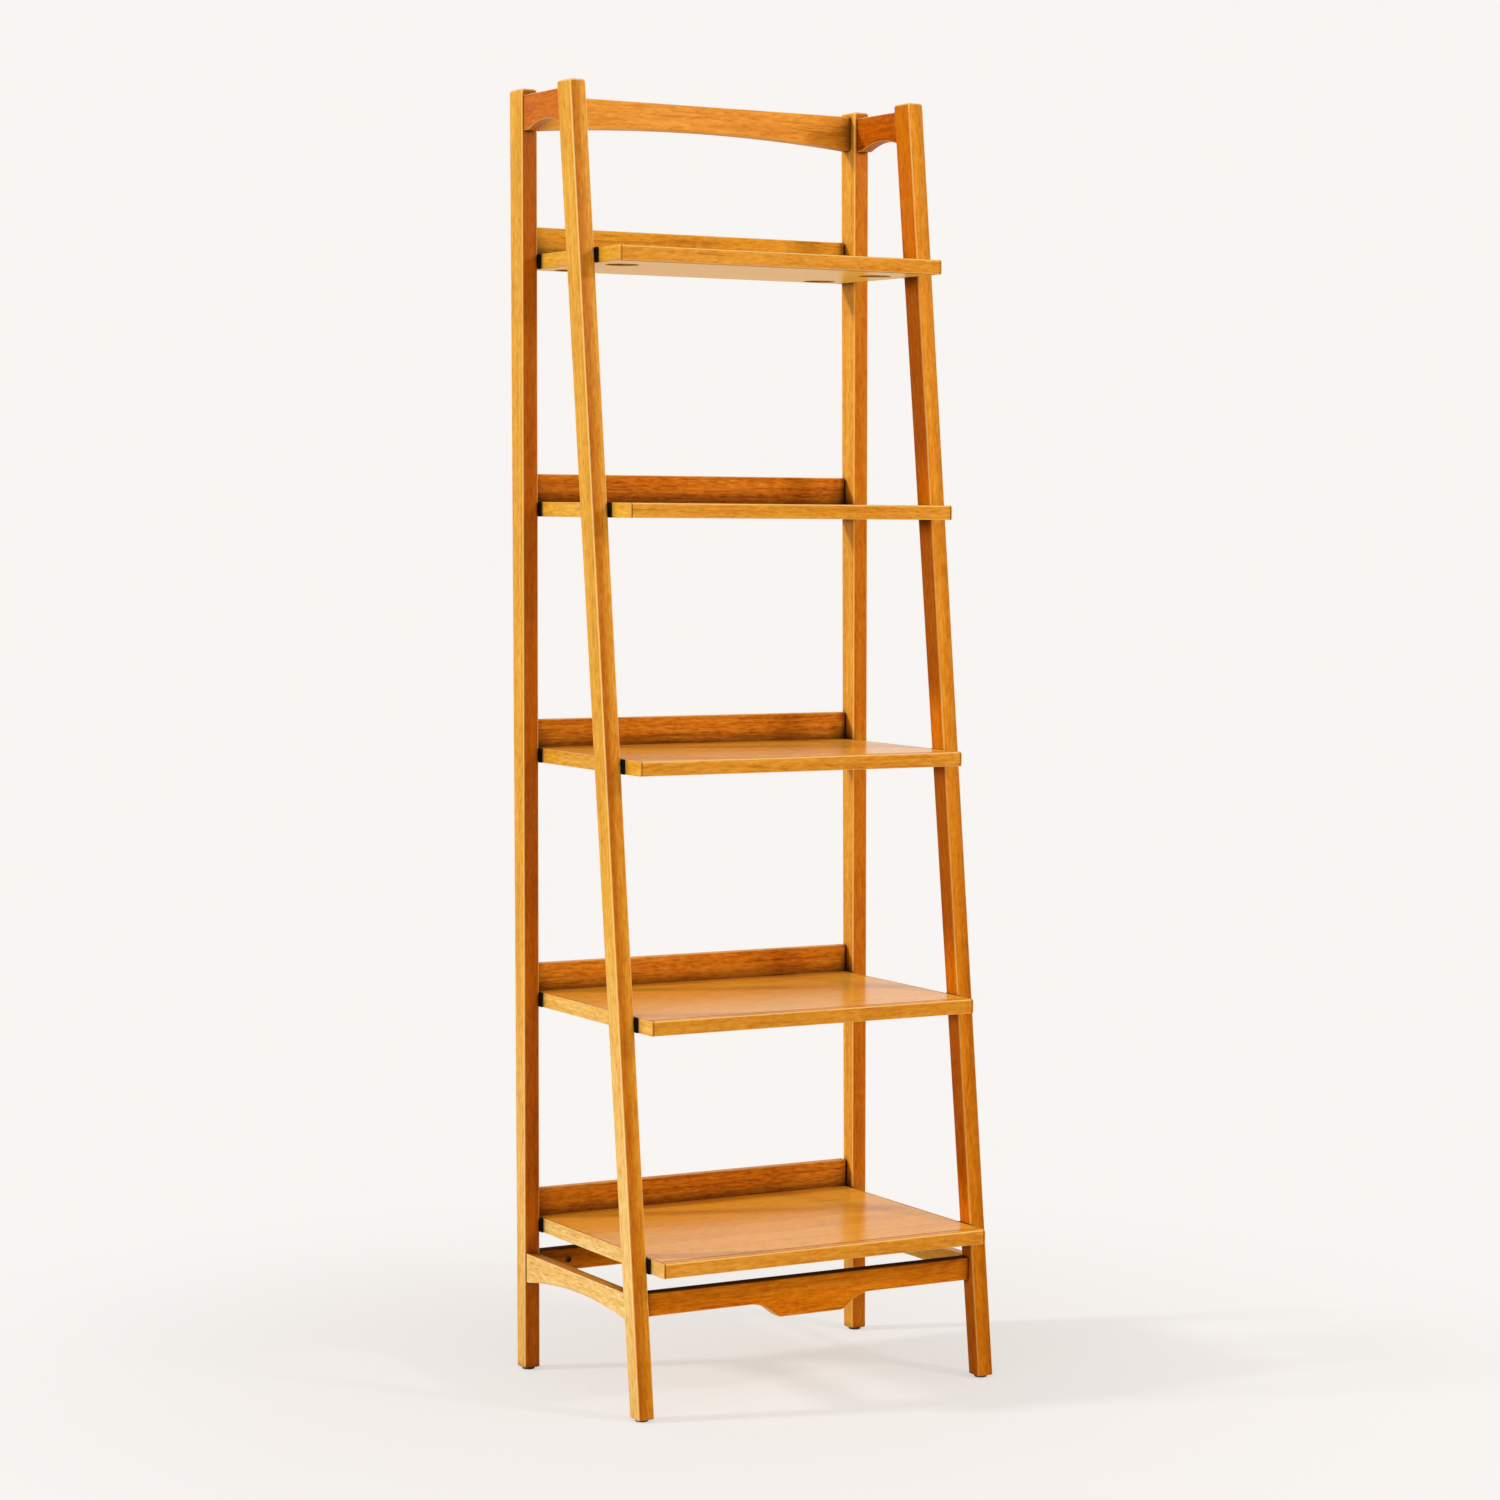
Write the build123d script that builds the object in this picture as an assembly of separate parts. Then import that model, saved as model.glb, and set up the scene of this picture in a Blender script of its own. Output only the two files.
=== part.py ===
from build123d import *
import os

# Ladder shelf. Millimetres, +X to the right, +Y to the back, +Z up, origin on the floor under the middle.

# Side frames
WIDTH = 615.0
HEIGHT = 1950.0
LEG_THICKNESS = 27.6
REAR_FOOT_DEPTH = 27.4
REAR_TOP_DEPTH = 43.5
FRONT_FOOT_DEPTH = 29.4
FRONT_TOP_DEPTH = 44.4
FOOT_SPREAD = 398.0
TOP_SPREAD = 202.4
REAR_LEAN = 46.5
LEG_ROUND = 5.0
LEG_TOP_ROUND = 4.5
FOOT_ROUND = 1.5

# Rails between the legs of a side frame
RAIL_THICKNESS = 20.0
RAIL_SETBACK = 3.0
RAIL_ROUND = 2.5
TOP_RAIL_DROP = 10.0
TOP_RAIL_HEIGHT = 53.0
TOP_RAIL_HEEL = 15.0
TOP_RAIL_ARCH_OVERRUN = 5.0
TOP_RAIL_ARCH_RISE = 11.0
LOW_RAIL_TOP = 181.2
LOW_RAIL_HEIGHT = 44.5
LOW_RAIL_HEEL = 6.0
LOW_RAIL_ARCH_OVERRUN = 27.0
LOW_RAIL_ARCH_RISE = 16.3
HEEL_ROUND = 8.0

# Cross rails between the two side frames
BACK_RAIL_DROP = 7.0
BACK_RAIL_HEIGHT = 54.0
BACK_RAIL_ARCH_RISE = 13.0
APRON_HEIGHT = 35.0
APRON_RISE_OVER_RAIL = 1.5
FRONT_APRON_SETBACK = 10.5
TAB_DROP = 23.2
TAB_FLAT = 111.0
TAB_SLOPE_RUN = 31.0
TAB_SHOULDER_ROUND = 54.0
TAB_CORNER_ROUND = 16.0

# Shelves, counted from the floor up
SHELF_DEPTHS = (421.3, 388.8, 356.7, 330.2, 301.8)
LOWEST_SHELF_TOP = 234.1
LOWEST_BAY = 347.0
TOP_BAY = 247.3
SHELF_THICKNESS = 22.0
FRONT_LIP = 16.0
SIDE_LIP = 2.5
LIP_TOP_ROUND = 4.0
LIP_EDGE_ROUND = 1.0
JOINT_GROOVE = 1.2
LEDGE_HEIGHT = 42.5
LEDGE_THICKNESS = 14.0
LEDGE_END_GAP = 1.0
LEDGE_ROUND = 2.0
SPACER_THICKNESS = 2.4
SPACER_OVERHANG = 5.5

# Shelf bolts and their pockets
POCKET_DIAMETER = 51.0
POCKET_INSET = 57.0
POCKET_SKIN = 6.0
POCKET_WALL = 8.0
POCKET_SHIFT = 8.0
BOLT_DIAMETER = 6.0
BOLT_HEAD_DIAMETER = 10.5
BOLT_HEAD_HEIGHT = 3.3
BOLT_SOCKET = 4.0
BOLT_SEAT_STEP = 1.5
BOLT_REACH = 11.5
INSERT_DIAMETER = 9.0
INSERT_LENGTH = 14.0

# Dowels, studs and barrel nuts
DOWEL_DIAMETER = 6.0
DOWEL_IN_LEG = 14.0
DOWEL_IN_RAIL = 18.0
RAIL_DOWEL_DROPS = (8.0, 34.0)
LEDGE_DOWEL_IN_LEDGE = 14.0
LEDGE_DOWEL_IN_PANEL = 10.0
LEDGE_DOWEL_INSET = 97.0
NUT_INSET = 50.0
NUT_DIAMETER = 10.0
NUT_LENGTH = 14.0
STUD_PAST_NUT = 9.0

# Foot sockets, each with a levelling screw and its pad recessed in the flange
FOOT_FLANGE_DIAMETER = 19.0
FOOT_FLANGE_ROUND = 0.8
FOOT_FLANGE_ROOF = 1.0
FOOT_SPIGOT_DIAMETER = 10.0
FOOT_SPIGOT_LENGTH = 18.0
PAD_DIAMETER = 13.0
PAD_THICKNESS = 2.4
PAD_HOLE = 5.0
LEVEL_SCREW_LENGTH = 22.0
LEVEL_FLANGE_DIAMETER = 9.0
LEVEL_FLANGE_THICKNESS = 1.0
LEVEL_SOCKET = 3.0
LEVEL_SOCKET_DEPTH = 3.0

# Clearances
FIT = 0.1
RUN = 0.05
BORE_END = 0.5
PAD_GAP = 0.3

# Positions that follow from the sizes above
LEG_OUTER = WIDTH / 2
LEG_INNER = LEG_OUTER - LEG_THICKNESS
LEG_MIDDLE = (LEG_OUTER + LEG_INNER) / 2
RAIL_OUTER = LEG_OUTER - RAIL_SETBACK
RAIL_INNER = RAIL_OUTER - RAIL_THICKNESS
RAIL_MIDDLE = (RAIL_OUTER + RAIL_INNER) / 2
SHELF_END = LEG_INNER - SPACER_THICKNESS
PANEL_END = SHELF_END - SIDE_LIP
LEDGE_END = SHELF_END - LEDGE_END_GAP
PAD_TOP = PAD_GAP + PAD_THICKNESS
RECESS_ROOF = PAD_TOP + PAD_GAP
FOOT_Z = RECESS_ROOF + FOOT_FLANGE_ROOF
TOP_RAIL_TOP = HEIGHT - TOP_RAIL_DROP
APRON_TOP = LOW_RAIL_TOP + APRON_RISE_OVER_RAIL
SECOND_SHELF_TOP = LOWEST_SHELF_TOP + LOWEST_BAY
EVEN_BAYS = len(SHELF_DEPTHS) - 2
EVEN_BAY = (HEIGHT - TOP_BAY - SECOND_SHELF_TOP) / EVEN_BAYS
SHELF_TOPS = [LOWEST_SHELF_TOP] + [SECOND_SHELF_TOP + bay * EVEN_BAY for bay in range(EVEN_BAYS + 1)]
POCKET_DEPTH = SHELF_THICKNESS - POCKET_SKIN
LEDGE_DOWEL_LENGTH = LEDGE_DOWEL_IN_PANEL + LEDGE_DOWEL_IN_LEDGE
RAIL_DOWEL_LENGTH = DOWEL_IN_LEG + DOWEL_IN_RAIL
BOLT_SEAT = SHELF_END - (POCKET_INSET - POCKET_DIAMETER / 2 - BOLT_SEAT_STEP)
SIDES = ("left", "right")


def rising(foot, top, z):
    """A size that changes evenly from the foot of a leg to its top."""
    return foot + (top - foot) * (z - FOOT_Z) / (HEIGHT - FOOT_Z)


# The rear feet stand so that the whole depth is centred on the origin
REARMOST = rising(0, REAR_LEAN, HEIGHT - LEG_TOP_ROUND)
FRONTMOST = rising(0, REAR_LEAN, SHELF_TOPS[0]) - SHELF_DEPTHS[0]
REAR_FOOT_Y = -(REARMOST + FRONTMOST) / 2


def rear_leg_rear(z):
    return REAR_FOOT_Y + rising(0, REAR_LEAN, z)


def rear_leg_front(z):
    return rear_leg_rear(z) - rising(REAR_FOOT_DEPTH, REAR_TOP_DEPTH, z)


def front_leg_front(z):
    return rear_leg_rear(z) - rising(FOOT_SPREAD, TOP_SPREAD, z)


def front_leg_rear(z):
    return front_leg_front(z) + rising(FRONT_FOOT_DEPTH, FRONT_TOP_DEPTH, z)


LEGS = {"rear": (rear_leg_front, rear_leg_rear), "front": (front_leg_front, front_leg_rear)}


def leg_centre(leg, z):
    front, rear = LEGS[leg]
    return (front(z) + rear(z)) / 2


def foot_y(leg):
    """The upright axis of a foot socket, kept in the middle of the leaning leg around it."""
    return leg_centre(leg, FOOT_Z + FOOT_SPIGOT_LENGTH / 2)


def rod(start, direction, length, diameter):
    """A cylinder from a start point along a direction."""
    cylinder = Cylinder(diameter / 2, length, align=(Align.CENTER, Align.CENTER, Align.MIN))
    return Plane(origin=start, z_dir=direction) * cylinder


def block(x, y, z):
    """A box between pairs of limits."""
    size = Box(x[1] - x[0], y[1] - y[0], z[1] - z[0], align=(Align.MIN, Align.MIN, Align.MIN))
    return Pos(x[0], y[0], z[0]) * size


def edges_along(body, axis, at_least):
    """The straight edges of a body along an axis, or close to it, that are at least so long."""
    return body.edges().filter_by(axis, tolerance=12).filter_by(lambda edge: edge.length >= at_least)


def arch_circle(chord, rise):
    """Radius of the circle under an arch."""
    return (chord**2 / 4 + rise**2) / (2 * rise)


def mirrored(body):
    return mirror(body, about=Plane.YZ)


def placed(body, side):
    """A body drawn for the right-hand side, on the side asked for."""
    if side == "left":
        return mirrored(body)
    return body


# Heights of the fasteners in the legs
def rail_dowel_heights(rail_top):
    return [rail_top - drop for drop in RAIL_DOWEL_DROPS]


def cross_heights(rail_top):
    """Stud and dowel of a cross rail, spread between the dowels of the side rails."""
    upper, lower = rail_dowel_heights(rail_top)
    return upper - (upper - lower) / 3, lower + (upper - lower) / 3


def bolt_height(shelf_top):
    return shelf_top - SHELF_THICKNESS + POCKET_DEPTH / 2


CROSS_RAILS = {
    "top_back_rail": ("rear", TOP_RAIL_TOP),
    "front_apron": ("front", LOW_RAIL_TOP),
    "rear_apron": ("rear", LOW_RAIL_TOP),
}
SIDE_RAILS = {"top": TOP_RAIL_TOP, "bottom": LOW_RAIL_TOP}


def cross_rail_centre(name, z):
    """Middle of a cross rail's thickness."""
    if name == "front_apron":
        return front_leg_front(z) + FRONT_APRON_SETBACK + RAIL_THICKNESS / 2
    return leg_centre(CROSS_RAILS[name][0], z)


def side_rail_dowel(leg, z):
    """Start point and direction of a dowel, starting at its end inside the leg."""
    front, rear = LEGS[leg]
    if leg == "rear":
        return (RAIL_MIDDLE, front(z) + DOWEL_IN_LEG, z), (0, -1, 0)
    return (RAIL_MIDDLE, rear(z) - DOWEL_IN_LEG, z), (0, 1, 0)


def bored(point, direction, length, diameter):
    """The hole for a rod: a little wider, and a little longer at its start."""
    start = Vector(*point) - Vector(*direction) * BORE_END
    return rod(start, direction, length + BORE_END, diameter + 2 * FIT)


# Legs
def leg_body(leg):
    front, rear = LEGS[leg]
    outline = Polyline(
        (front(FOOT_Z), FOOT_Z),
        (rear(FOOT_Z), FOOT_Z),
        (rear(HEIGHT), HEIGHT),
        (front(HEIGHT), HEIGHT),
        close=True,
    )
    body = extrude(Plane.YZ.offset(LEG_INNER) * make_face(outline), LEG_THICKNESS)
    body = fillet(edges_along(body, Axis.Z, HEIGHT / 2), LEG_ROUND)
    body = fillet(body.faces().sort_by(Axis.Z)[-1].edges(), LEG_TOP_ROUND)
    return fillet(body.faces().sort_by(Axis.Z)[0].edges(), FOOT_ROUND)


def leg(leg_name):
    body = leg_body(leg_name)
    for top in SHELF_TOPS:
        z = bolt_height(top)
        insert_start = (LEG_INNER, leg_centre(leg_name, z), z)
        body -= rod(insert_start, (1, 0, 0), INSERT_LENGTH, INSERT_DIAMETER + 2 * FIT)
    for rail_top in SIDE_RAILS.values():
        for z in rail_dowel_heights(rail_top):
            point, direction = side_rail_dowel(leg_name, z)
            body -= bored(point, direction, 2 * DOWEL_IN_LEG, DOWEL_DIAMETER)
    for name, (rail_leg, rail_top) in CROSS_RAILS.items():
        if rail_leg == leg_name:
            stud_z, dowel_z = cross_heights(rail_top)
            for z, diameter in ((stud_z, BOLT_DIAMETER), (dowel_z, DOWEL_DIAMETER)):
                point = (LEG_INNER + DOWEL_IN_LEG, cross_rail_centre(name, z), z)
                body -= bored(point, (-1, 0, 0), DOWEL_IN_LEG, diameter)
    foot = (LEG_MIDDLE, foot_y(leg_name), FOOT_Z)
    body -= rod(foot, (0, 0, 1), FOOT_SPIGOT_LENGTH, FOOT_SPIGOT_DIAMETER + 2 * FIT)
    return body - rod(foot, (0, 0, 1), LEVEL_SCREW_LENGTH, BOLT_DIAMETER + 2 * BORE_END)


# Rails
def side_rail(top, height, heel, overrun, rise):
    """A rail between the legs, with a heel at the rear leg and an arch that runs out into the front leg."""
    bottom = top - height
    outline = Polyline(
        (front_leg_rear(bottom), bottom),
        (rear_leg_front(bottom), bottom),
        (rear_leg_front(top), top),
        (front_leg_rear(top), top),
        close=True,
    )
    heel_end = rear_leg_front(bottom) - heel
    chord = heel_end - front_leg_rear(bottom) + overrun
    radius = arch_circle(chord, rise)
    profile = make_face(outline) - Pos(heel_end - chord / 2, bottom + rise - radius) * Circle(radius)
    corner = [v for v in profile.vertices() if abs(v.X - heel_end) < FIT and abs(v.Y - bottom) < FIT]
    if heel > HEEL_ROUND:
        profile = fillet(corner, HEEL_ROUND)
    body = extrude(Plane.YZ.offset(RAIL_INNER) * profile, RAIL_THICKNESS)
    body = fillet(body.edges().filter_by(Axis.X, reverse=True), RAIL_ROUND)
    for leg_name in LEGS:
        for z in rail_dowel_heights(top):
            point, direction = side_rail_dowel(leg_name, z)
            body -= rod(point, direction, RAIL_DOWEL_LENGTH + BORE_END, DOWEL_DIAMETER + 2 * FIT)
    return body


def cross_rail(name, profile, z_middle, nut_face):
    """A rail between the side frames, bored at both ends, with barrel nut holes in its hidden face."""
    y = cross_rail_centre(name, z_middle)
    front_plane = Plane(origin=(0, y - RAIL_THICKNESS / 2, 0), x_dir=(1, 0, 0), z_dir=(0, -1, 0))
    body = extrude(front_plane * profile, -RAIL_THICKNESS)
    long_edges = [
        edge for edge in body.edges().filter_by(Axis.Y, reverse=True)
        if abs((edge @ 1 - edge @ 0).X) > abs((edge @ 1 - edge @ 0).Z)
    ]
    body = fillet(long_edges, RAIL_ROUND)
    stud_z, dowel_z = cross_heights(CROSS_RAILS[name][1])
    stud_y = cross_rail_centre(name, stud_z)
    bores = rod((LEG_INNER, stud_y, stud_z), (-1, 0, 0), NUT_INSET + STUD_PAST_NUT + BORE_END,
                BOLT_DIAMETER + 2 * FIT)
    dowel_point = (LEG_INNER, cross_rail_centre(name, dowel_z), dowel_z)
    bores += rod(dowel_point, (-1, 0, 0), DOWEL_IN_RAIL + BORE_END, DOWEL_DIAMETER + 2 * FIT)
    nut_start = (LEG_INNER - NUT_INSET, stud_y - nut_face * NUT_LENGTH / 2, stud_z)
    bores += rod(nut_start, (0, nut_face, 0), RAIL_THICKNESS, NUT_DIAMETER + 2 * FIT)
    return body - bores - mirrored(bores)


def back_rail_profile():
    top = HEIGHT - BACK_RAIL_DROP
    bottom = top - BACK_RAIL_HEIGHT
    left = (-LEG_INNER, bottom)
    right = (LEG_INNER, bottom)
    crown = (0, bottom + BACK_RAIL_ARCH_RISE)
    upper = Polyline(left, (-LEG_INNER, top), (LEG_INNER, top), right)
    return make_face(upper + ThreePointArc(right, crown, left))


def rear_apron_profile():
    return Pos(0, APRON_TOP) * Rectangle(2 * LEG_INNER, APRON_HEIGHT, align=(Align.CENTER, Align.MAX))


def front_apron_profile():
    """A straight apron with a tab in the middle, reached by rounded slopes."""
    bottom = APRON_TOP - APRON_HEIGHT
    tab = bottom - TAB_DROP
    corner = TAB_FLAT / 2
    shoulder = corner + TAB_SLOPE_RUN
    outline = Polyline(
        (-LEG_INNER, APRON_TOP),
        (LEG_INNER, APRON_TOP),
        (LEG_INNER, bottom),
        (shoulder, bottom),
        (corner, tab),
        (-corner, tab),
        (-shoulder, bottom),
        (-LEG_INNER, bottom),
        close=True,
    )
    profile = make_face(outline)
    profile = fillet([v for v in profile.vertices() if abs(abs(v.X) - shoulder) < FIT], TAB_SHOULDER_ROUND)
    return fillet(profile.vertices().group_by(Axis.Y)[0], TAB_CORNER_ROUND)


# Shelves
def shelf_bolt_points(index):
    """Bolt axes on the right-hand end of a shelf, with the middles of their pockets."""
    top = SHELF_TOPS[index]
    z = bolt_height(top)
    rear_pocket = rear_leg_rear(top) - POCKET_WALL - POCKET_DIAMETER / 2
    front_pocket = leg_centre("front", z) + POCKET_SHIFT
    return [(leg_centre("rear", z), z, rear_pocket), (leg_centre("front", z), z, front_pocket)]


def shelf_bolt_holes(index):
    """Everything that the bolts need at the right-hand end of a shelf."""
    bottom = SHELF_TOPS[index] - SHELF_THICKNESS
    pocket_x = SHELF_END - POCKET_INSET
    head_bore = BOLT_HEAD_DIAMETER + 2 * BORE_END
    holes = []
    for y, z, pocket_y in shelf_bolt_points(index):
        holes.append(rod((pocket_x, pocket_y, bottom), (0, 0, 1), POCKET_DEPTH, POCKET_DIAMETER))
        holes.append(rod((BOLT_SEAT, y, z), (-1, 0, 0), BOLT_SEAT - pocket_x, head_bore))
        holes.append(rod((BOLT_SEAT, y, z), (1, 0, 0), SHELF_END - BOLT_SEAT, BOLT_DIAMETER + 2 * FIT))
    return holes


def ledge_dowel_starts(index):
    y = rear_leg_rear(SHELF_TOPS[index]) - LEDGE_THICKNESS / 2
    z = SHELF_TOPS[index] - LEDGE_DOWEL_IN_PANEL
    outer_x = LEDGE_END - LEDGE_DOWEL_INSET
    return [(x, y, z) for x in (-outer_x, 0, outer_x)]


def shelf(index):
    """Panel, front lipping, side lippings and back ledge of a shelf."""
    top = SHELF_TOPS[index]
    rear = rear_leg_rear(top)
    front = rear - SHELF_DEPTHS[index]
    z = (top - SHELF_THICKNESS, top)
    panel = block((-PANEL_END, PANEL_END), (front + FRONT_LIP, rear), z)
    side_lip = block((PANEL_END, SHELF_END), (front, rear), z)
    front_lip = block((-PANEL_END, PANEL_END), (front, front + FRONT_LIP), z)
    panel = grooved(panel, 0)
    front_lip = grooved(rounded_front(front_lip), -1)
    side_lip = rounded_front(side_lip)
    outer_edges = edges_along(side_lip, Axis.Y, FRONT_LIP).group_by(Axis.X)[-1]
    side_lip = fillet(outer_edges, LIP_EDGE_ROUND)
    for hole in shelf_bolt_holes(index):
        panel -= hole
        panel -= mirrored(hole)
        side_lip -= hole
    ledge = block((-LEDGE_END, LEDGE_END), (rear - LEDGE_THICKNESS, rear), (top, top + LEDGE_HEIGHT))
    ledge = fillet(ledge.edges().group_by(Axis.Z)[-1], LEDGE_ROUND)
    for start in ledge_dowel_starts(index):
        hole = bored(start, (0, 0, 1), LEDGE_DOWEL_LENGTH + BORE_END, DOWEL_DIAMETER)
        panel -= hole
        ledge -= hole
    return panel, front_lip, side_lip, ledge


def rounded_front(lip):
    """Round the upper and lower front edges of a lipping."""
    front_edges = lip.edges().filter_by(Axis.X).group_by(Axis.Y)[0].sort_by(Axis.Z)
    lip = fillet(front_edges[-1], LIP_TOP_ROUND)
    lower = lip.edges().filter_by(Axis.X).group_by(Axis.Y)[0].sort_by(Axis.Z)[0]
    return fillet(lower, LIP_TOP_ROUND / 2)


def grooved(board, side):
    """Bevel the upper front edge (0) or upper rear edge (-1), for the groove where panel and lipping meet."""
    top_edges = board.edges().filter_by(Axis.X).group_by(Axis.Z)[-1]
    return chamfer(top_edges.sort_by(Axis.Y)[side], JOINT_GROOVE)


def spacer(index, leg_name):
    top = SHELF_TOPS[index]
    front, rear = LEGS[leg_name]
    y, z, _ = shelf_bolt_points(index)[0 if leg_name == "rear" else 1]
    body = block((SHELF_END, LEG_INNER), (front(z) - SPACER_OVERHANG, rear(z)), (top - SHELF_THICKNESS, top))
    return body - rod((SHELF_END, y, z), (1, 0, 0), SPACER_THICKNESS, BOLT_DIAMETER + 2 * FIT)


def shelf_bolt(y, z):
    """A button-headed bolt with a hexagon socket, its head seated in the pocket."""
    head_face = BOLT_SEAT - BOLT_HEAD_HEIGHT
    bolt = rod((head_face, y, z), (1, 0, 0), BOLT_HEAD_HEIGHT, BOLT_HEAD_DIAMETER)
    bolt = fillet(bolt.edges().sort_by(Axis.X)[0], BOLT_HEAD_HEIGHT / 2)
    bolt += rod((BOLT_SEAT, y, z), (1, 0, 0), LEG_INNER + BOLT_REACH - BOLT_SEAT, BOLT_DIAMETER)
    socket = RegularPolygon(BOLT_SOCKET / 2, 6, major_radius=False)
    return bolt - extrude(Plane(origin=(head_face, y, z), z_dir=(1, 0, 0)) * socket, BOLT_HEAD_HEIGHT / 2)


def bolt_insert(y, z):
    """Threaded sleeve in the inner face of a leg."""
    start = (LEG_INNER, y, z)
    outside = rod(start, (1, 0, 0), INSERT_LENGTH, INSERT_DIAMETER)
    return outside - rod(start, (1, 0, 0), INSERT_LENGTH, BOLT_DIAMETER + 2 * FIT)


# Feet
def foot_socket(x, y):
    """Flange under the leg, recessed for the pad, with a threaded spigot up into the leg."""
    socket = rod((x, y, 0), (0, 0, 1), FOOT_Z, FOOT_FLANGE_DIAMETER)
    socket = fillet(socket.edges().sort_by(Axis.Z)[0], FOOT_FLANGE_ROUND)
    socket += rod((x, y, FOOT_Z), (0, 0, 1), FOOT_SPIGOT_LENGTH, FOOT_SPIGOT_DIAMETER)
    socket -= rod((x, y, 0), (0, 0, 1), RECESS_ROOF, PAD_DIAMETER + 2 * PAD_GAP)
    return socket - rod((x, y, 0), (0, 0, 1), FOOT_Z + FOOT_SPIGOT_LENGTH, BOLT_DIAMETER + 2 * RUN)


def level_pad(x, y):
    """Disc with a hole for the key, and a seat on top for the flange of the levelling screw."""
    pad = rod((x, y, PAD_GAP), (0, 0, 1), PAD_THICKNESS, PAD_DIAMETER)
    pad -= rod((x, y, PAD_TOP), (0, 0, -1), LEVEL_FLANGE_THICKNESS + RUN, LEVEL_FLANGE_DIAMETER + 2 * FIT)
    return pad - rod((x, y, 0), (0, 0, 1), PAD_TOP, PAD_HOLE)


def level_screw(x, y):
    """Screw with a flange at its lower end, turned through the pad by a hexagon key."""
    flange_bottom = PAD_TOP - LEVEL_FLANGE_THICKNESS
    screw = rod((x, y, flange_bottom), (0, 0, 1), LEVEL_FLANGE_THICKNESS, LEVEL_FLANGE_DIAMETER)
    screw += rod((x, y, PAD_TOP), (0, 0, 1), LEVEL_SCREW_LENGTH, BOLT_DIAMETER)
    key = Pos(x, y, flange_bottom) * RegularPolygon(LEVEL_SOCKET / 2, 6, major_radius=False)
    return screw - extrude(key, LEVEL_SOCKET_DEPTH)


# Assembly
nodes = {}

for leg_name in LEGS:
    shaped = leg(leg_name)
    for side in SIDES:
        nodes[f"leg_{leg_name}_{side}"] = [placed(shaped, side)]

rail_shapes = {
    "top": side_rail(
        TOP_RAIL_TOP, TOP_RAIL_HEIGHT, TOP_RAIL_HEEL, TOP_RAIL_ARCH_OVERRUN, TOP_RAIL_ARCH_RISE
    ),
    "bottom": side_rail(
        LOW_RAIL_TOP, LOW_RAIL_HEIGHT, LOW_RAIL_HEEL, LOW_RAIL_ARCH_OVERRUN, LOW_RAIL_ARCH_RISE
    ),
}
for rail_name, shaped in rail_shapes.items():
    for side in SIDES:
        nodes[f"{rail_name}_side_rail_{side}"] = [placed(shaped, side)]

back_rail_middle = HEIGHT - BACK_RAIL_DROP - BACK_RAIL_HEIGHT / 2
apron_middle = APRON_TOP - APRON_HEIGHT / 2
nodes["top_back_rail"] = [cross_rail("top_back_rail", back_rail_profile(), back_rail_middle, 1)]
nodes["front_apron"] = [cross_rail("front_apron", front_apron_profile(), apron_middle, 1)]
nodes["rear_apron"] = [cross_rail("rear_apron", rear_apron_profile(), apron_middle, -1)]

for index in range(len(SHELF_TOPS)):
    number = index + 1
    panel, front_lip, side_lip, ledge = shelf(index)
    nodes[f"shelf_panel_{number}"] = [panel]
    nodes[f"shelf_front_lipping_{number}"] = [front_lip]
    nodes[f"shelf_side_lippings_{number}"] = [mirrored(side_lip), side_lip]
    nodes[f"back_ledge_{number}"] = [ledge]

spacers = []
bolts = []
inserts = []
ledge_dowels = []
for index in range(len(SHELF_TOPS)):
    for leg_name in LEGS:
        spacers.append(spacer(index, leg_name))
    for y, z, _ in shelf_bolt_points(index):
        bolts.append(shelf_bolt(y, z))
        inserts.append(bolt_insert(y, z))
    for start in ledge_dowel_starts(index):
        ledge_dowels.append(rod(start, (0, 0, 1), LEDGE_DOWEL_LENGTH, DOWEL_DIAMETER))

side_dowels = []
for rail_top in SIDE_RAILS.values():
    for leg_name in LEGS:
        for z in rail_dowel_heights(rail_top):
            point, direction = side_rail_dowel(leg_name, z)
            side_dowels.append(rod(point, direction, RAIL_DOWEL_LENGTH, DOWEL_DIAMETER))

studs = []
barrel_nuts = []
cross_dowels = []
for name, (leg_name, rail_top) in CROSS_RAILS.items():
    stud_z, dowel_z = cross_heights(rail_top)
    stud_y = cross_rail_centre(name, stud_z)
    start_x = LEG_INNER + DOWEL_IN_LEG
    stud_length = DOWEL_IN_LEG + NUT_INSET + STUD_PAST_NUT
    studs.append(rod((start_x, stud_y, stud_z), (-1, 0, 0), stud_length, BOLT_DIAMETER))
    nut_x = LEG_INNER - NUT_INSET
    nut = rod((nut_x, stud_y - NUT_LENGTH / 2, stud_z), (0, 1, 0), NUT_LENGTH, NUT_DIAMETER)
    nut -= rod((nut_x + NUT_DIAMETER, stud_y, stud_z), (-1, 0, 0), 2 * NUT_DIAMETER, BOLT_DIAMETER + 2 * FIT)
    barrel_nuts.append(nut)
    dowel_y = cross_rail_centre(name, dowel_z)
    cross_dowels.append(rod((start_x, dowel_y, dowel_z), (-1, 0, 0), RAIL_DOWEL_LENGTH, DOWEL_DIAMETER))

foot_sockets = []
for leg_name in LEGS:
    y = foot_y(leg_name)
    foot_sockets.append(foot_socket(LEG_MIDDLE, y))
    for side in SIDES:
        nodes[f"level_screw_{leg_name}_{side}"] = [placed(level_screw(LEG_MIDDLE, y), side)]
        nodes[f"level_pad_{leg_name}_{side}"] = [placed(level_pad(LEG_MIDDLE, y), side)]

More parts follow.
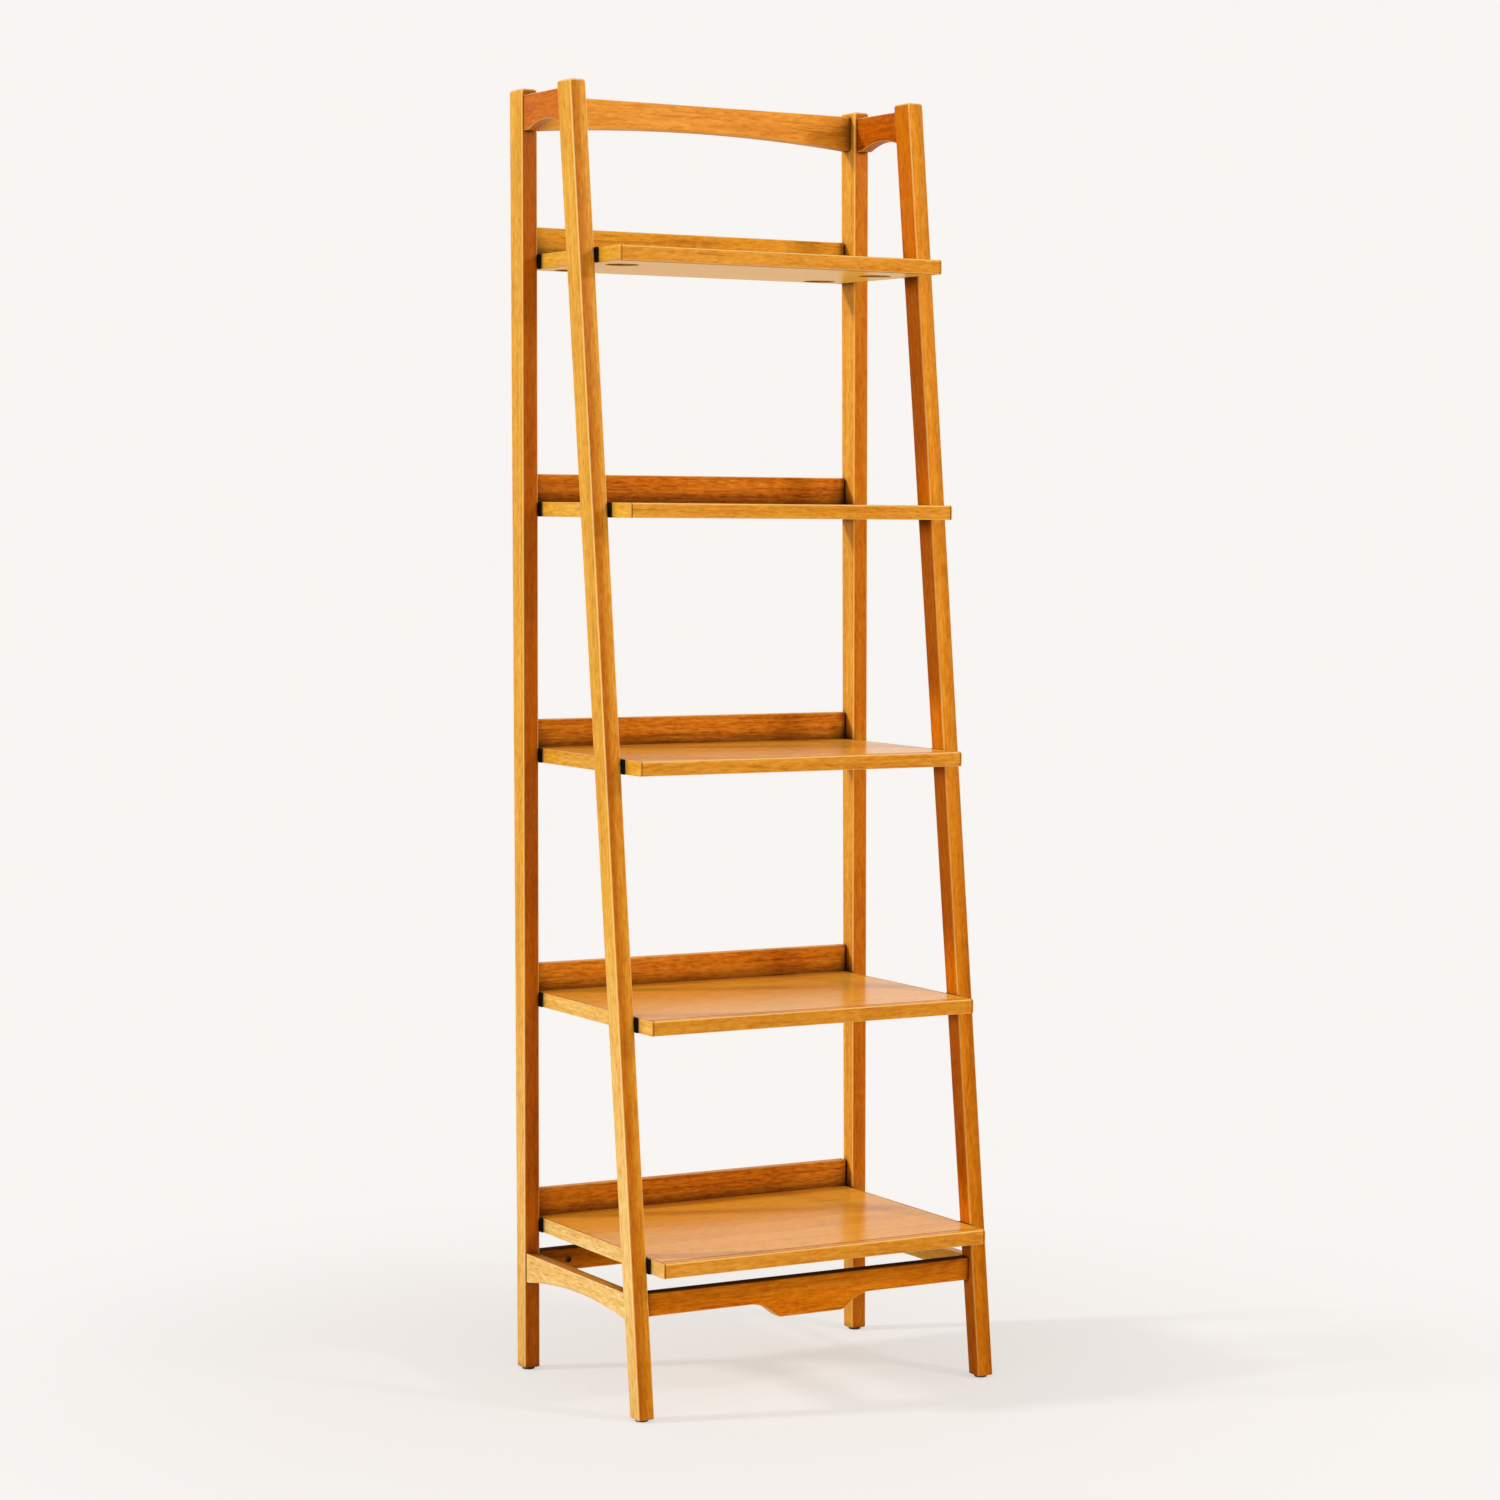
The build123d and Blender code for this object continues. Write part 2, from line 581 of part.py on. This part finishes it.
both_sides = {
    "shelf_spacers": spacers,
    "shelf_bolts": bolts,
    "shelf_bolt_inserts": inserts,
    "side_rail_dowels": side_dowels,
    "cross_rail_studs": studs,
    "cross_rail_barrel_nuts": barrel_nuts,
    "cross_rail_dowels": cross_dowels,
    "foot_sockets": foot_sockets,
}
for name, right in both_sides.items():
    nodes[name] = right + [mirrored(body) for body in right]
nodes["back_ledge_dowels"] = ledge_dowels

os.makedirs("parts", exist_ok=True)
for name, bodies in nodes.items():
    solids = [solid for body in bodies for solid in body.solids()]
    export_step(solids[0] if len(solids) == 1 else Compound(solids), f"parts/{name}.step")
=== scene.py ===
import math
import bpy
from mathutils import Matrix, Vector


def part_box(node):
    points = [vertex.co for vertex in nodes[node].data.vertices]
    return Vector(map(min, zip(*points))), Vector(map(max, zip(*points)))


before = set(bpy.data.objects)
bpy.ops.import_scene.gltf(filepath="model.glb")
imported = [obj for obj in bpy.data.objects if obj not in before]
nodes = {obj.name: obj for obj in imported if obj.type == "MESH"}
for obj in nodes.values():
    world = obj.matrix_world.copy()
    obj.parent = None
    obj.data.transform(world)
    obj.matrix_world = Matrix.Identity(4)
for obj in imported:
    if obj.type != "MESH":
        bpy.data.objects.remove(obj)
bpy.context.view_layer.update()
scene = bpy.context.scene

# Colours of the wood from its darkest fibre to its palest, linear
TEAK = ((0.00, (0.280, 0.058, 0.002)), (0.34, (0.530, 0.168, 0.008)),
        (0.62, (0.680, 0.258, 0.016)), (1.00, (0.820, 0.390, 0.045)))
BEECH = ((0.00, (0.480, 0.300, 0.140)), (0.40, (0.600, 0.400, 0.200)),
         (0.70, (0.680, 0.470, 0.250)), (1.00, (0.750, 0.560, 0.330)))
MIDDLE_TONE = 0.58
VEIN = (0.230, 0.050, 0.003)
PORE = (0.150, 0.035, 0.003)
# Worn edges, which also carry a painted highlight
RUBBED_EDGE_AND_HIGHLIGHT = (0.960, 0.620, 0.190)
JOINT = (0.055, 0.014, 0.002)
# Painted shade, the colour that crevices and places below shelves darken to
CREVICE_SHADE = (0.020, 0.004, 0.001)
# Painted light and reflection of the bright floor on lower outer faces, as a tint
FLOOR_LIGHT_TINT = (1.12, 1.62, 7.50)
LACQUER = (1.0, 0.74, 0.40, 1)

# Layers of the grain: stretch along and across it, then detail, roughness and distortion of the noise
GRAIN_LAYERS = {
    "broad": (1.1, 21.0, 2.0, 0.5, 0.6),
    "streak": (4.5, 120.0, 3.0, 0.6, 0.25),
    "fleck": (60.0, 270.0, 2.0, 0.6, 0.0),
    "fibre": (30.0, 900.0, 2.0, 0.7, 0.0),
    "vein": (8.0, 300.0, 2.0, 0.5, 0.0),
    "pore": (75.0, 1150.0, 1.0, 0.4, 0.0),
}
BLOTCH_SCALE = 7.0

# How far each layer moves the tone and the relief, and what makes the lacquer duller
TONE_SHARES = {"broad": 0.80, "streak": 0.85, "fleck": 1.25, "fibre": 0.70, "blotch": 0.45}
RELIEF_SHARES = {"fibre": 0.5, "pore": -0.8, "streak": 0.5}
DULLNESS = {"fleck": 0.16, "pore": 0.12, "underside": 0.14, "joint": 0.60, "crevice": 0.60}

# Values of the noise between which veins and pores come out
VEIN_BAND = (0.57, 0.74)
PORE_BAND = (0.60, 0.72)

# Slopes of the legs' grain
LEG_RISE = 1.946
REAR_LEAN = math.atan2(0.0385, LEG_RISE)
FRONT_LEAN = math.atan2(0.2346, LEG_RISE)

# Metres: the joint lines, and heights between which tints fade: the painted light from the floor, the painted
# light rising up the fronts and the darker foot
JOINT_LINE = 0.0016
FLOOR_LIGHT_HEIGHTS = (0.25, 0.80)
RISING_LIGHT_HEIGHTS = (0.10, 1.80)
DUSK_HEIGHTS = (0.02, 0.26)

# How squarely a face has to turn to an axis for its tints to start and to be full
TURNED = (0.45, 0.97)
SQUARE = (0.60, 0.97)
# Turned down, full first, and rounded, worn and given a painted highlight first
DOWNWARD = (-0.95, -0.50)
ROUNDED = (0.74, 0.95)

# How much of the colour a pore, the painted light of an underside, a joint line and the painted shade of a
# crevice take over
PORE_SHARE = 0.45
UNDERSIDE_LIGHT_SHARE = 0.90
JOINT_SHARE = 0.92
CREVICE_SHADE_SHARE = 0.96

WHITE = (1.0, 1.0, 1.0)
BACKDROP = (0.947, 0.913, 0.888, 1)


class Tree:
    """The node tree of a material or a world, with a short way to add linked nodes."""

    def __init__(self, owner):
        owner.use_nodes = True
        self.owner = owner
        self.tree = owner.node_tree
        self.tree.nodes.clear()

    def add(self, kind, inputs=(), **settings):
        node = self.tree.nodes.new(kind)
        for key, value in settings.items():
            setattr(node, key, value)
        for key, value in dict(inputs).items():
            if isinstance(value, bpy.types.NodeSocket):
                self.tree.links.new(value, node.inputs[key])
            else:
                node.inputs[key].default_value = value
        return node

    def math(self, operation, a, b=0.0, clamp=False):
        return self.add("ShaderNodeMath", {0: a, 1: b}, operation=operation, use_clamp=clamp).outputs[0]

    def fade(self, value, low, high, to_low=0.0, to_high=1.0):
        """A smooth change from one value to another."""
        return self.add(
            "ShaderNodeMapRange", {0: value, 1: low, 2: high, 3: to_low, 4: to_high},
            interpolation_type="SMOOTHSTEP",
        ).outputs[0]

    def noise(self, vector, scale, detail=2.0, roughness=0.5, distortion=0.0):
        node = self.add(
            "ShaderNodeTexNoise",
            {"Vector": vector, "Scale": scale, "Detail": detail, "Roughness": roughness,
             "Distortion": distortion},
        )
        return node.outputs["Fac"]

    def ramp(self, value, stops):
        node = self.add("ShaderNodeValToRGB", {0: value})
        band = node.color_ramp
        while len(band.elements) < len(stops):
            band.elements.new(1.0)
        for element, (place, colour) in zip(band.elements, stops):
            element.position = place
            element.color = (*colour, 1)
        return node.outputs[0]

    def mix(self, factor, a, b, blend="MIX"):
        node = self.add("ShaderNodeMix", data_type="RGBA", blend_type=blend)
        for key, value in ((0, factor), (6, a), (7, b)):
            if isinstance(value, bpy.types.NodeSocket):
                self.tree.links.new(value, node.inputs[key])
            else:
                node.inputs[key].default_value = value if key == 0 else (*value, 1)
        return node.outputs[2]

    def tint(self, factor, colour, by):
        return self.mix(factor, colour, by, "MULTIPLY")

    def bump(self, strength, distance, height):
        return self.add(
            "ShaderNodeBump", {"Strength": strength, "Distance": distance, "Height": height},
        ).outputs[0]

    def seen(self):
        """One for rays from the camera, in reflections and through glass, and nothing for light."""
        path = self.add("ShaderNodeLightPath").outputs
        direct = self.math("MAXIMUM", path["Is Camera Ray"], path["Is Glossy Ray"])
        return self.math("MAXIMUM", direct, path["Is Transmission Ray"])

    def finish(self, shader):
        self.add("ShaderNodeOutputMaterial", {"Surface": shader})
        return self.owner


def new_material(name):
    return Tree(bpy.data.materials.new(name))


def grain_noise(t, place, grain, seed, lean):
    """The layers of the grain, stretched along an axis. The seed is the piece's place in the tree."""
    turned = t.add("ShaderNodeMapping", {"Vector": place, "Rotation": (lean, 0, 0)}).outputs[0]
    in_tree = (seed * 1.37, seed * 0.91 + 0.3, seed * 1.13 + 0.7)
    shifted = t.add("ShaderNodeMapping", {"Vector": turned, "Location": in_tree}).outputs[0]
    layers = {"blotch": t.noise(shifted, BLOTCH_SCALE)}
    for layer, (along, across, *settings) in GRAIN_LAYERS.items():
        scale = [across] * 3
        scale["XYZ".index(grain)] = along
        stretched = t.add("ShaderNodeMapping", {"Vector": shifted, "Scale": scale}).outputs[0]
        layers[layer] = t.noise(stretched, 1.0, *settings)
    return layers


def painted_crevice_shade(t, reach, shadow, overhead):
    """The share of painted shade at a place, more where things hem it in; with overhead, mostly from what
    lies above.
    """
    outward = t.add("ShaderNodeNewGeometry").outputs["Normal"]
    lifted = t.add("ShaderNodeVectorMath", {0: outward, 1: (0, 0, overhead)}, operation="ADD").outputs[0]
    level = t.add("ShaderNodeVectorMath", {0: lifted}, operation="NORMALIZE").outputs[0]
    open_share = t.add("ShaderNodeAmbientOcclusion", {"Distance": reach, "Normal": level}, samples=8)
    return t.fade(open_share.outputs["AO"], *shadow, CREVICE_SHADE_SHARE, 0.0)


def wood(name, grain, seed, lean=0.0, stops=TEAK, contrast=1.0, shade=0.0, veins=0.5, gloss=0.3, ior=1.30,
         edge_wear_and_highlight=0.65, flat_cut=(0.98, 0.90, 0.70), side_tone_and_shading=(1.00, 1.18, 1.25), left_face_shade=None, underside_light=None,
         heart=None, bleach=0.0, painted_rising_light=None, dusk=None, seams=(),
         reach=0.035, shadow=(0.30, 0.92), overhead=0.0):
    """Lacquered wood.

    flat_cut, side_tone_and_shading and left_face_shade tint the faces to front and back, to both sides and to
    the left: partly the wood's own tone by face, mostly painted shading; left_face_shade is painted shade
    only. under is the colour of the underside, painted light from the floor and a painted reflection, and rub
    the wear of the edges with a painted highlight. heart paints light and shade across the front of the
    plank, and sunned paints light rising up the plank. bleach paints light and its reflection from the floor
    onto the lower outer faces, and dusk tints the foot.
    seams holds the axis and place of joint lines. reach, shadow and overhead say how painted shade darkens
    crevices and places below shelves.
    """
    t = new_material(name)
    spot = t.add("ShaderNodeTexCoord").outputs
    place = t.add("ShaderNodeSeparateXYZ", {0: spot["Object"]}).outputs
    facing = t.add("ShaderNodeSeparateXYZ", {0: spot["Normal"]}).outputs
    sides = [t.math("ABSOLUTE", facing[axis]) for axis in range(3)]
    to_front = t.fade(sides[1], *SQUARE)
    below = t.fade(facing[2], *DOWNWARD, 1.0, 0.0)

    # Grain
    layers = grain_noise(t, spot["Object"], grain, seed, lean)
    tone = 0.0
    for layer, share in TONE_SHARES.items():
        part = t.math("MULTIPLY", t.math("SUBTRACT", layers[layer], 0.5), share * contrast)
        tone = t.math("ADD", tone, part)
    colour = t.ramp(t.math("ADD", tone, MIDDLE_TONE + shade, clamp=True), stops)
    colour = t.mix(t.fade(layers["vein"], *VEIN_BAND, 0.0, veins), colour, VEIN)
    layers["pore"] = t.fade(layers["pore"], *PORE_BAND)
    colour = t.mix(t.math("MULTIPLY", layers["pore"], PORE_SHARE * contrast), colour, PORE)

    # Faces: partly the wood's own tone by face, mostly painted shading of fronts, sides and the left
    for axis, cut in ((1, flat_cut), (0, side_tone_and_shading)):
        colour = t.tint(t.fade(sides[axis], *TURNED), colour, cut)
    # Painted shade on faces turned to the left
    if left_face_shade:
        colour = t.tint(t.fade(facing[0], -TURNED[1], -TURNED[0], 1.0, 0.0), colour, left_face_shade)
    # Painted light and shade across the front of the plank
    if heart:
        start, end, first, last = heart
        colour = t.tint(to_front, colour, t.mix(t.fade(place[0], start, end), first, last))
    # Painted light from the floor, and a painted reflection, on undersides
    if underside_light:
        colour = t.mix(t.math("MULTIPLY", below, UNDERSIDE_LIGHT_SHARE), colour, underside_light)

    # Rounded edges are rubbed a little paler, and carry a painted highlight
    squarest = t.math("MAXIMUM", t.math("MAXIMUM", sides[0], sides[1]), sides[2])
    colour = t.mix(t.fade(squarest, *ROUNDED, edge_wear_and_highlight, 0.0), colour, RUBBED_EDGE_AND_HIGHLIGHT)

    # Tints that change with height: painted light and reflection from the floor, painted light rising up the
    # fronts, and a darker foot
    # Painted light from the floor, on the lower outer faces
    if bleach:
        outer = t.math("MULTIPLY", facing[0], t.math("SIGN", place[0]))
        pale = t.math("MULTIPLY", t.fade(place[2], *FLOOR_LIGHT_HEIGHTS, bleach, 0.0), t.fade(outer, *SQUARE))
        colour = t.tint(pale, colour, FLOOR_LIGHT_TINT)
    # Fronts painted lighter towards the top, as light that falls more there
    if painted_rising_light:
        colour = t.tint(to_front, colour, t.mix(t.fade(place[2], *RISING_LIGHT_HEIGHTS), *painted_rising_light))
    if dusk:
        colour = t.tint(t.fade(place[2], *DUSK_HEIGHTS, 1.0, 0.0), colour, dusk)

    # Joint lines, and painted shade in crevices and below shelves
    dull = t.math("MULTIPLY", below, DULLNESS["underside"])
    for axis, at in seams:
        away = t.math("ABSOLUTE", t.math("SUBTRACT", place["XYZ".index(axis)], at))
        line = t.fade(away, JOINT_LINE * 0.5, JOINT_LINE, JOINT_SHARE, 0.0)
        colour = t.mix(line, colour, JOINT)
        dull = t.math("ADD", dull, t.math("MULTIPLY", line, DULLNESS["joint"]))
    # Painted shade: darker where ambient occlusion finds things close by
    crevice_shade = painted_crevice_shade(t, reach, shadow, overhead)
    colour = t.mix(crevice_shade, colour, CREVICE_SHADE)

    # Lacquer, duller in pores, undersides, joints and crevices
    roughness = gloss - DULLNESS["fleck"] / 2
    for layer in ("fleck", "pore"):
        roughness = t.math("ADD", roughness, t.math("MULTIPLY", layers[layer], DULLNESS[layer]))
    roughness = t.math("ADD", roughness, dull)
    roughness = t.math("ADD", roughness, t.math("MULTIPLY", crevice_shade, DULLNESS["crevice"]), clamp=True)
    relief = 0.0
    for layer, share in RELIEF_SHARES.items():
        relief = t.math("ADD", relief, t.math("MULTIPLY", layers[layer], share))
    shader = t.add(
        "ShaderNodeBsdfPrincipled",
        {"Base Color": colour, "Roughness": roughness, "Normal": t.bump(0.22, 0.0005, relief), "IOR": ior,
         "Specular IOR Level": 0.3, "Specular Tint": LACQUER},
    )
    return t.finish(shader.outputs[0])


def plastic(name, dark, pale, rough, ior=1.45):
    """Moulded plastic with a fine grain."""
    t = new_material(name)
    place = t.add("ShaderNodeTexCoord").outputs["Object"]
    grain = t.noise(place, 1600.0, 2.0, 0.6)
    patch = t.noise(place, 60.0, 3.0, 0.6)
    colour = t.mix(t.fade(patch, 0.3, 0.7), dark, pale)
    roughness = t.math("ADD", t.math("MULTIPLY", grain, 0.25), rough - 0.12)
    shader = t.add(
        "ShaderNodeBsdfPrincipled",
        {"Base Color": colour, "Roughness": roughness, "Normal": t.bump(0.3, 0.0003, grain), "IOR": ior},
    )
    return t.finish(shader.outputs[0])


def metal(name, dark, pale, rough):
    """Plated metal with fine turning marks and a mottled plating."""
    t = new_material(name)
    place = t.add("ShaderNodeTexCoord").outputs["Object"]
    mottle = t.noise(place, 240.0, 3.0, 0.6)
    marks = t.noise(place, 2500.0, 1.0, 0.5)
    colour = t.mix(t.fade(mottle, 0.3, 0.7), dark, pale)
    roughness = t.math("ADD", t.math("MULTIPLY", mottle, 0.25), rough - 0.1)
    shader = t.add(
        "ShaderNodeBsdfPrincipled",
        {"Base Color": colour, "Metallic": 1.0, "Roughness": roughness,
         "Normal": t.bump(0.15, 0.0002, marks)},
    )
    return t.finish(shader.outputs[0])


def dress(name, material):
    slots = nodes[name].material_slots
    if not slots:
        nodes[name].data.materials.append(material)
    for slot in slots:
        slot.material = material


def dress_in_wood(name, grain, seed, **finish):
    dress(name, wood(name, grain, seed, **finish))


# Legs, each from its own plank, darker at the foot
LEG = dict(contrast=0.7, shade=0.06, veins=0.2, ior=1.25, edge_wear_and_highlight=0.75, dusk=(0.90, 0.84, 0.70))
REAR_LEG = dict(LEG, lean=REAR_LEAN, reach=0.03, shadow=(0.25, 0.80))
FRONT_LEG = dict(LEG, lean=FRONT_LEAN, flat_cut=(0.92, 0.74, 0.42),
                 painted_rising_light=((0.95, 0.92, 0.90), (1.06, 1.22, 2.40)),
                 reach=0.05, shadow=(0.08, 0.50), overhead=1.0)
LEGS = {
    "leg_rear_left": dict(REAR_LEG, flat_cut=(0.62, 0.38, 0.14), side_tone_and_shading=(1.00, 1.20, 1.30), bleach=0.35),
    "leg_rear_right": dict(REAR_LEG, flat_cut=(0.83, 0.61, 0.30), side_tone_and_shading=(1.00, 1.15, 1.20)),
    "leg_front_left": dict(FRONT_LEG, side_tone_and_shading=(1.00, 1.22, 1.35), bleach=0.50),
    "leg_front_right": dict(FRONT_LEG, side_tone_and_shading=(1.00, 1.15, 1.20), left_face_shade=(0.77, 0.46, 0.14),
                            ior=1.1, edge_wear_and_highlight=0.40),
}
# Painted light and shade across the front legs' fronts, near their left and right edges
FRONT_SHADING_INSETS = (0.006, 0.004)
FRONT_SHADING_TINTS = {
    "leg_front_left": ((0.82, 0.72, 0.55), (1.12, 1.36, 1.80)),
    "leg_front_right": ((1.06, 1.08, 1.00), (0.86, 0.84, 0.85)),
}
for name, tints in FRONT_SHADING_TINTS.items():
    low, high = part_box(name)
    LEGS[name]["heart"] = (low.x + FRONT_SHADING_INSETS[0], high.x - FRONT_SHADING_INSETS[1], *tints)
for number, (name, finish) in enumerate(LEGS.items()):
    dress_in_wood(name, "Z", 1.3 + 2.7 * number, **finish)

# Rails of the side frames
TOP_RAIL = dict(contrast=0.6, side_tone_and_shading=(0.90, 0.62, 0.20), reach=0.05, ior=1.2)
dress_in_wood("top_side_rail_left", "Y", 21.4, shade=-0.09, **TOP_RAIL)
# The right rail is painted darker, as shade on its inner face
dress_in_wood("top_side_rail_right", "Y", 23.3, shade=-0.26, **TOP_RAIL)
LOW_RAIL = dict(contrast=0.7, side_tone_and_shading=(1.00, 1.22, 1.40), veins=0.2, ior=1.25, shadow=(0.30, 1.0))
dress_in_wood("bottom_side_rail_left", "Y", 25.2, shade=0.10, reach=0.11, bleach=0.60, **LOW_RAIL)
# The right rail is painted lighter, standing in for light on its top below the lowest shelf
dress_in_wood("bottom_side_rail_right", "Y", 27.1, shade=0.30, reach=0.02, bleach=0.05, **LOW_RAIL)

# Cross rails
dress_in_wood("top_back_rail", "X", 33.1, contrast=0.75, shade=0.12, flat_cut=(1.06, 0.98, 0.95),
              reach=0.08, shadow=(0.45, 0.98))
# Aprons are painted darker on their fronts, as shade from the shelf above
APRON = dict(contrast=0.8, shade=-0.06, flat_cut=(1.06, 0.78, 0.26), ior=1.15, reach=0.11, shadow=(0.40, 1.0))
dress_in_wood("front_apron", "X", 35.4, **APRON)
dress_in_wood("rear_apron", "X", 37.7, **APRON)

# Shelves, with a fine dark line where the panel meets its lippings
PANEL = dict(contrast=0.65, shade=0.34, veins=0.25, gloss=0.18, ior=1.21, underside_light=(1.000, 0.620, 0.080),
             reach=0.06, shadow=(0.20, 0.70))
FRONT_LIPPING = dict(contrast=0.75, shade=0.06, veins=0.3, edge_wear_and_highlight=0.9, flat_cut=(0.98, 0.97, 1.05))
SIDE_LIPPING = dict(contrast=0.7, shade=0.08, veins=0.25, side_tone_and_shading=(1.00, 1.22, 1.35), bleach=0.6)
# Tone of each back ledge and the green in its tint, from the floor up; the top one is painted lighter, as
# light that no shelf above it blocks
LEDGES = ((-0.03, 0.86), (0.06, 0.86), (0.00, 0.88), (-0.02, 0.86), (0.32, 1.02))
for number, (shade, green) in enumerate(LEDGES, 1):
    seed = 50.0 + 3.1 * number
    low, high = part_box(f"shelf_panel_{number}")
    seams = [("Y", low.y), ("X", low.x), ("X", high.x)]
    dress_in_wood(f"shelf_panel_{number}", "X", seed, seams=seams, **PANEL)
    dress_in_wood(f"shelf_front_lipping_{number}", "X", seed + 0.7, seams=seams, **FRONT_LIPPING)
    dress_in_wood(f"shelf_side_lippings_{number}", "Y", seed + 1.4, **SIDE_LIPPING)
    dress_in_wood(f"back_ledge_{number}", "X", seed + 2.2, shade=shade, veins=0.6, ior=1.25,
                  flat_cut=(0.98, green, 0.70))

# Dowels
DOWEL_GRAINS = {"side_rail_dowels": "Y", "cross_rail_dowels": "X", "back_ledge_dowels": "Z"}
for number, (name, grain) in enumerate(DOWEL_GRAINS.items()):
    dress_in_wood(name, grain, 80.0 + number, stops=BEECH, gloss=0.6)

# Spacers, feet and metal fasteners
dress("shelf_spacers", plastic("spacer_black", (0.004, 0.003, 0.002), (0.008, 0.006, 0.005), 0.75, ior=1.2))
dress("foot_sockets", plastic("foot_black", (0.014, 0.013, 0.012), (0.028, 0.026, 0.024), 0.6))
pad_grey = plastic("pad_grey", (0.09, 0.09, 0.09), (0.14, 0.14, 0.14), 0.7)
zinc = metal("zinc_steel", (0.48, 0.48, 0.50), (0.68, 0.68, 0.70), 0.32)
for foot in ("rear_left", "rear_right", "front_left", "front_right"):
    dress(f"level_pad_{foot}", pad_grey)
    dress(f"level_screw_{foot}", zinc)
dress("shelf_bolts", zinc)
dress("cross_rail_studs", zinc)
dress("cross_rail_barrel_nuts", metal("black_steel", (0.030, 0.028, 0.026), (0.055, 0.052, 0.050), 0.45))
dress("shelf_bolt_inserts", metal("insert_brass", (0.55, 0.38, 0.14), (0.74, 0.56, 0.26), 0.35))


# Floor, which fades into the backdrop far from the object
FLOOR_HALF = 30.0
FLOOR_COLOUR = (0.80, 0.81, 0.83, 1)
FLOOR_FADE = (0.4, 1.5)
NEAR_GLOW = 0.60


def floor_material():
    t = new_material("floor")
    place = t.add("ShaderNodeTexCoord").outputs["Object"]
    distance = t.add("ShaderNodeVectorMath", {0: place}, operation="LENGTH").outputs["Value"]
    far = t.math("MULTIPLY", t.fade(distance, *FLOOR_FADE, NEAR_GLOW, 1.0), t.seen())
    matt = t.add("ShaderNodeBsdfDiffuse", {"Color": FLOOR_COLOUR}).outputs[0]
    glow = t.add("ShaderNodeEmission", {"Color": BACKDROP, "Strength": 1.0}).outputs[0]
    return t.finish(t.add("ShaderNodeMixShader", {0: far, 1: matt, 2: glow}).outputs[0])


corners = [(x * FLOOR_HALF, y * FLOOR_HALF, 0) for x, y in ((-1, -1), (1, -1), (1, 1), (-1, 1))]
mesh = bpy.data.meshes.new("floor")
mesh.from_pydata(corners, [], [(0, 1, 2, 3)])
floor = bpy.data.objects.new("floor", mesh)
scene.collection.objects.link(floor)
mesh.materials.append(floor_material())


# Light: a low key from the left rear, soft fills from the front and the right, and an even surround
def place_lamp(lamp, towards, location=(0, 0, 0)):
    item = bpy.data.objects.new(lamp.name, lamp)
    item.location = location
    item.rotation_mode = "QUATERNION"
    item.rotation_quaternion = Vector(towards).to_track_quat("-Z", "Y")
    scene.collection.objects.link(item)


def sun(name, towards, strength, spread, colour=WHITE):
    lamp = bpy.data.lights.new(name, "SUN")
    lamp.energy = strength
    lamp.color = colour
    lamp.angle = math.radians(spread)
    place_lamp(lamp, towards)


def disk_lamp(name, location, aim, power, size, colour):
    lamp = bpy.data.lights.new(name, "AREA")
    lamp.shape = "DISK"
    lamp.size = size
    lamp.energy = power
    lamp.color = colour
    place_lamp(lamp, Vector(aim) - Vector(location), location)


def surround(colour, strength):
    """An even light from all round, in place of which the camera and reflections see the backdrop."""
    world = bpy.data.worlds.new("studio")
    scene.world = world
    t = Tree(world)
    light = t.add("ShaderNodeBackground", {"Color": colour, "Strength": strength}).outputs[0]
    backdrop = t.add("ShaderNodeBackground", {"Color": BACKDROP}).outputs[0]
    both = t.add("ShaderNodeMixShader", {0: t.seen(), 1: light, 2: backdrop}).outputs[0]
    t.add("ShaderNodeOutputWorld", {"Surface": both})


sun("key", towards=(0.852, -0.304, -0.426), strength=2.02, spread=6)
sun("front fill", towards=(0.20, 0.72, -0.66), strength=0.92, spread=110, colour=(1.0, 0.95, 0.88))
sun("left edge", towards=(0.84, 0.47, -0.12), strength=0.20, spread=10)
sun("right edge", towards=(-0.87, 0.50, -0.10), strength=0.25, spread=10, colour=(1.0, 0.94, 0.84))
disk_lamp("right fill", location=(1.40, -2.33, 2.50), aim=(0, 0, 1.2), power=26.0, size=0.35,
          colour=(1.0, 0.93, 0.82))
surround(colour=(1.0, 0.95, 0.89, 1), strength=0.40)

# Camera, from the front left and a little above the middle
CAMERA_PLACE = (-2.77343, -4.81037, 1.32394)
FOCAL_LENGTH = 87.874
SENSOR_WIDTH = 36.0
YAW = math.radians(29.886)
PITCH = math.radians(3.796)
ROLL = math.radians(-0.494)
forward = Vector((math.sin(YAW) * math.cos(PITCH), math.cos(YAW) * math.cos(PITCH), -math.sin(PITCH)))
level = Vector((math.cos(YAW), -math.sin(YAW), 0))
plumb = forward.cross(level)
right = level * math.cos(ROLL) + plumb * math.sin(ROLL)
down = plumb * math.cos(ROLL) - level * math.sin(ROLL)
lens = bpy.data.cameras.new("camera")
lens.sensor_width = SENSOR_WIDTH
lens.lens = FOCAL_LENGTH
lens.clip_end = 100.0
camera = bpy.data.objects.new("camera", lens)
turn = Matrix((right, -down, -forward)).transposed()
camera.matrix_world = Matrix.Translation(CAMERA_PLACE) @ turn.to_4x4()
scene.collection.objects.link(camera)
scene.camera = camera

scene.view_settings.view_transform = "Standard"
